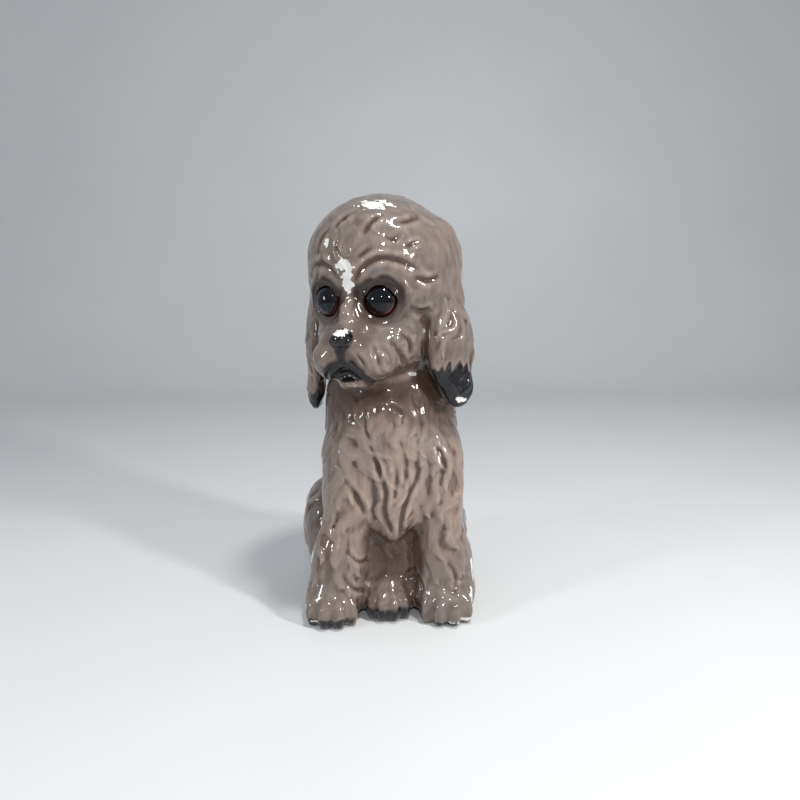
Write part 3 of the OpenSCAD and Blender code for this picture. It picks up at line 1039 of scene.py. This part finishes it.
def plaster():
    n = Nodes("plaster_bed")
    n.set("Base Color", n.mix(n.noise(300), (0.62, 0.60, 0.56), (0.78, 0.76, 0.72)))
    n.set("Roughness", 0.85)
    return n.material


def pale_floor():
    n = Nodes("pale_floor")
    n.set("Base Color", n.mix(n.noise(6, 2), (0.56, 0.57, 0.585), (0.60, 0.61, 0.62)))
    n.set("Roughness", 0.45)
    return n.material


# ---- the pieces

def ring_walls(rings, around):
    """Quads between rings of points that follow each other in a list."""
    return [
        (a + j, a + (j + 1) % around, a + around + (j + 1) % around, a + around + j)
        for a in range(0, (rings - 1) * around, around) for j in range(around)
    ]


def hollow_out(figure):
    """Empties the castings and cuts the vent hole through the base."""
    wall, low, high = 6.0, 8, 288
    rings, around = 26, 48
    rows = [
        [
            inner_point(low + (high - low) * k / (rings - 1), 2 * math.pi * j / around, wall)
            for j in range(around)
        ]
        for k in range(rings)
    ]
    points = [p for row in rows for p in row]
    points += [np.mean(rows[0], axis=0), np.mean(rows[-1], axis=0)]
    bottom, top = len(points) - 2, len(points) - 1
    last = (rings - 1) * around
    faces = ring_walls(rings, around)
    faces += [(bottom, (j + 1) % around, j) for j in range(around)]
    faces += [(top, last + j, last + (j + 1) % around) for j in range(around)]
    for tool in (mesh_object("hollow", points, faces), vent_tool(0, 26, 12, -3, 14)):
        boolean(figure, tool, "DIFFERENCE")
        discard(tool)


def inner_point(z, angle, wall):
    """A point of the hollow: as far out as the wall allows, inside the shells' own seams."""
    axis = np.array([0.0, 10.0, z]) if z < 165 else np.array([*HEAD_AT[:2], z])
    way = np.array([math.cos(angle), math.sin(angle), 0])
    steps = np.arange(1.0, 60.0)
    inside = gap(axis + steps[:, None] * way, BODY_FORM + HEAD) < -wall
    reach = 60.0 if inside.all() else max(1.0, float(np.argmin(inside)))
    seam = 34 if z < 112 else 44
    if way[1] < 0 and z < 125:
        reach = min(reach, -23 / min(way[1], -1e-6))
    return axis + min(reach, seam) * way


def vent_tool(x, y, radius, low, high):
    """The round rod that is cut away for the vent hole."""
    around = 64
    angles = [2 * math.pi * j / around for j in range(around)]
    points = [
        (x + radius * math.cos(a), y + radius * math.sin(a), z)
        for z in (low, high) for a in angles
    ]
    ends = [tuple(range(around))[::-1], tuple(range(around, 2 * around))]
    return mesh_object("vent", points, ring_walls(2, around) + ends)


BIG = 200
HEAD_CUTS = [
    # casting and the block that it is cut out with, in the head frame
    ("ear_left", (52, -40, -108), (90, 45, 10)),
    ("ear_right", (-90, -30, -112), (-52, 45, 10)),
]
BODY_CUTS = [
    # the same in the figure frame, in the order of cutting
    ("head_shell", (-BIG, -BIG, 157), (BIG, BIG, 2 * BIG)),
    ("tail", (-40, 66, -5), (40, BIG, 95)),
    ("hind_foot_right", (-18, -BIG, -5), (16, -18, 46)),
    ("front_leg_left", (16, -BIG, -5), (BIG, -18, 118)),
    ("front_leg_right", (-BIG, -BIG, -5), (-18, -18, 118)),
    ("hind_leg_left", (40, -18, -5), (BIG, BIG, 95)),
    ("hind_leg_right", (-BIG, -18, -5), (-40, BIG, 95)),
]


def skin_name(node):
    return node.replace("_shell", "") + "_skin"


def cut_castings(figure):
    """The figure cut along its luting seams, one piece for each casting."""
    pieces = {}
    for node, low, high in HEAD_CUTS:
        pieces[node] = split_off(figure, skin_name(node), low, high, HEAD_AXES, HEAD_AT)
    for node, low, high in BODY_CUTS:
        pieces[node] = split_off(figure, skin_name(node), low, high)
    figure.name = figure.data.name = skin_name("torso_shell")
    pieces["torso_shell"] = figure
    return pieces


def eye_piece(name, side, profile, around=96):
    """A turned solid in the socket: profile is (radius, forward) from the axis to the axis."""
    across, up, out = eye_axes(side)
    centre = eye_centre(side)
    inner = profile[1:-1]
    points = [centre + profile[0][1] * out]
    for r, f in inner:
        for j in range(around):
            a = 2 * math.pi * j / around
            points.append(centre + r * (math.cos(a) * across + math.sin(a) * up) + f * out)
    points.append(centre + profile[-1][1] * out)
    faces = []
    last = len(points) - 1
    for j in range(around):
        i = (j + 1) % around
        faces.append((0, 1 + j, 1 + i))
        faces.append((last, last - around + i, last - around + j))
    for k in range(len(inner) - 1):
        for j in range(around):
            i = (j + 1) % around
            a, b = 1 + k * around, 1 + (k + 1) * around
            faces.append((a + j, b + j, b + i, a + i))
    obj = mesh_object(name, points, faces)
    fix_facing(obj)
    obj.data.set_sharp_from_angle(angle=math.radians(40))
    return obj


def fix_facing(obj):
    """Turns a closed mesh's faces outwards."""
    work = bmesh.new()
    work.from_mesh(obj.data)
    bmesh.ops.recalc_face_normals(work, faces=work.faces)
    work.to_mesh(obj.data)
    work.free()


def arc_profile(radius, low, high, count):
    """Points of a circle around the eye's middle, from one elevation to another."""
    return [(radius * math.cos(a), radius * math.sin(a)) for a in np.linspace(low, high, count)]


def make_eye(side, label):
    """Clear glass cap, painted dome and plaster bed of one eye."""
    top = math.pi / 2
    rim = math.asin(-IRIS_BACK / EYE_R)
    cap = [(0, PAINT_R + GLUE)] + arc_profile(PAINT_R + GLUE, top, rim, 34)[1:]
    cap += arc_profile(EYE_R, rim, top, 40)[:-1] + [(0, EYE_R)]
    glass = eye_piece(f"eye_{label}_lens", side, cap)
    mark_iris(glass, side, EYE_R)
    painted = [(0, PAINT_R)] + arc_profile(PAINT_R, top, rim, 44)[1:]
    back = painted[-1][1]
    painted += [(0, back)]
    iris = eye_piece(f"eye_{label}_paint", side, painted)
    mark_iris(iris, side, painted[-2][0])
    bed_rise = math.asin((back - 0.5) / EYE_R)
    bed = [(0, back - 0.5)] + arc_profile(EYE_R, bed_rise, -top, 14)[:-1] + [(0, -EYE_R)]
    setting = eye_piece(f"eye_{label}_bed", side, bed)
    glass.visible_shadow = False
    return glass, iris, setting


def set_marks(mesh, marks):
    """Stores named values at a mesh's points, for its material."""
    for name, values in marks.items():
        attribute = mesh.attributes.new(name, "FLOAT", "POINT")
        attribute.data.foreach_set("value", values.astype(np.float32))


def mark_iris(obj, side, edge):
    """Distance from the middle of the iris as a share of its radius, and how low it is."""
    centre, (_, up, out) = eye_centre(side), eye_axes(side)
    rel = np.array([v.co for v in obj.data.vertices]) / MM - centre
    flat = rel - (rel @ out)[:, None] * out
    set_marks(obj.data, {"iris": np.linalg.norm(flat, axis=1) / edge, "low": -(rel @ up) / edge})


# ---- studio

def make_floor():
    """A pale floor that curves up into a backdrop."""
    depth, rise, bend = 1.4, 1.6, 0.5
    profile = [(-2.2, 0.0), (depth - bend, 0.0)]
    for k in range(1, 13):
        a = math.radians(90 * k / 12)
        profile.append((depth - bend + bend * math.sin(a), bend - bend * math.cos(a)))
    profile.append((depth, rise))
    points, faces = [], []
    for y, z in profile:
        points += [(-3.0 / MM, y / MM, z / MM), (3.0 / MM, y / MM, z / MM)]
    for k in range(len(profile) - 1):
        faces.append((2 * k, 2 * k + 1, 2 * k + 3, 2 * k + 2))
    floor = mesh_object("floor", points, faces)
    floor.data.materials.append(pale_floor())


def area_light(name, place, target, size, power, colour=(1, 1, 1)):
    light = bpy.data.lights.new(name, "AREA")
    light.shape = "RECTANGLE"
    light.size, light.size_y = size
    light.energy = power
    light.color = colour
    obj = bpy.data.objects.new(name, light)
    obj.location = place
    obj.rotation_euler = (Vector(target) - Vector(place)).to_track_quat("-Z", "Y").to_euler()
    bpy.context.scene.collection.objects.link(obj)


def light_studio():
    world = bpy.data.worlds.new("soft_room")
    bpy.context.scene.world = world
    world.use_nodes = True
    sky = world.node_tree.nodes["Background"]
    sky.inputs["Color"].default_value = (0.92, 0.96, 1.0, 1)
    sky.inputs["Strength"].default_value = 0.50
    aim = (0, 0, 0.16)
    area_light("window", (0.80, -0.60, 0.55), aim, (0.09, 0.16), 9.0, (1.0, 0.98, 0.95))
    area_light("lamp", (0.02, -0.80, 0.62), aim, (0.06, 0.06), 2.6, (1.0, 0.99, 0.97))
    area_light("side_window", (-0.85, -0.50, 0.45), aim, (0.08, 0.24), 3.0, (0.90, 0.95, 1.0))
    area_light("ceiling_lamp", (0.20, -0.25, 1.10), aim, (0.10, 0.10), 5.5, (1.0, 0.98, 0.95))
    bpy.context.scene.view_settings.view_transform = "Standard"


def place_camera():
    """A close view from in front, a little above the figure's middle and looking down."""
    camera = bpy.data.cameras.new("camera")
    camera.sensor_width = 36
    camera.lens = 28.35
    obj = bpy.data.objects.new("camera", camera)
    obj.location = (0.0064, -0.465, 0.235)
    look = Matrix.Rotation(math.radians(90 - 10.1), 4, "X") @ Matrix.Rotation(math.radians(-0.4), 4, "Z")
    obj.rotation_euler = look.to_euler()
    bpy.context.scene.collection.objects.link(obj)
    bpy.context.scene.camera = obj


# ---- build

def settle(piece, node, material, slot):
    """Gives a piece its material, hangs it on the root and hides the CAD node that it stands in for."""
    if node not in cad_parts:
        raise ValueError(f"the frame has no node {node}")
    piece.data.materials.append(material)
    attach(piece, "root")
    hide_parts(node)


def main():
    skin = Skin(*figure_mesh())
    bare = bare_skin(skin.points)
    relief = spread(hair_relief(skin) * bare, skin.edges, 1)
    sunk = draw_strokes(skin.points, HEAD_STROKES, HEAD + FACE, from_head)
    sunk += draw_strokes(skin.points, CHEST_STROKES, TORSO + LEGS + PAWS, np.asarray)
    relief -= sunk * smoothstep(0, 0.5, bare)
    masks = paint_masks(skin, relief)
    lift = relief - 1.3 * bare - 0.25 * masks["chip"]
    points = skin.points + lift[:, None] * skin.normals
    points[:, 2] = np.maximum(points[:, 2], 0)

    normals = normals_of(points, skin.quads)
    tree = kd_tree(points)
    figure = mesh_object("figure", points, skin.quads.tolist())
    hollow_out(figure)
    pieces = cut_castings(figure)

    body = glaze("body_glaze"), "glazed_body"
    ears = glaze("ear_glaze"), "glazed_ears"
    legs = glaze("leg_glaze"), "glazed_legs"
    finishes = {
        "ear_left": ears, "ear_right": ears,
        "front_leg_left": legs, "front_leg_right": legs, "hind_foot_right": legs,
    }
    for node, piece in pieces.items():
        paint(piece, tree, masks, normals)
        piece.data.materials.clear()
        settle(piece, node, *finishes.get(node, body))

    lens, disc, bed = eye_glass(), eye_paint(), plaster()
    for side, label in ((1, "left"), (-1, "right")):
        glass, iris, setting = make_eye(side, label)
        settle(glass, f"eye_{label}_glass", lens, "eye_glass")
        settle(iris, f"eye_{label}_iris", disc, "eye_paint")
        settle(setting, f"eye_{label}_setting", bed, "plaster")

    make_floor()
    light_studio()
    place_camera()


main()
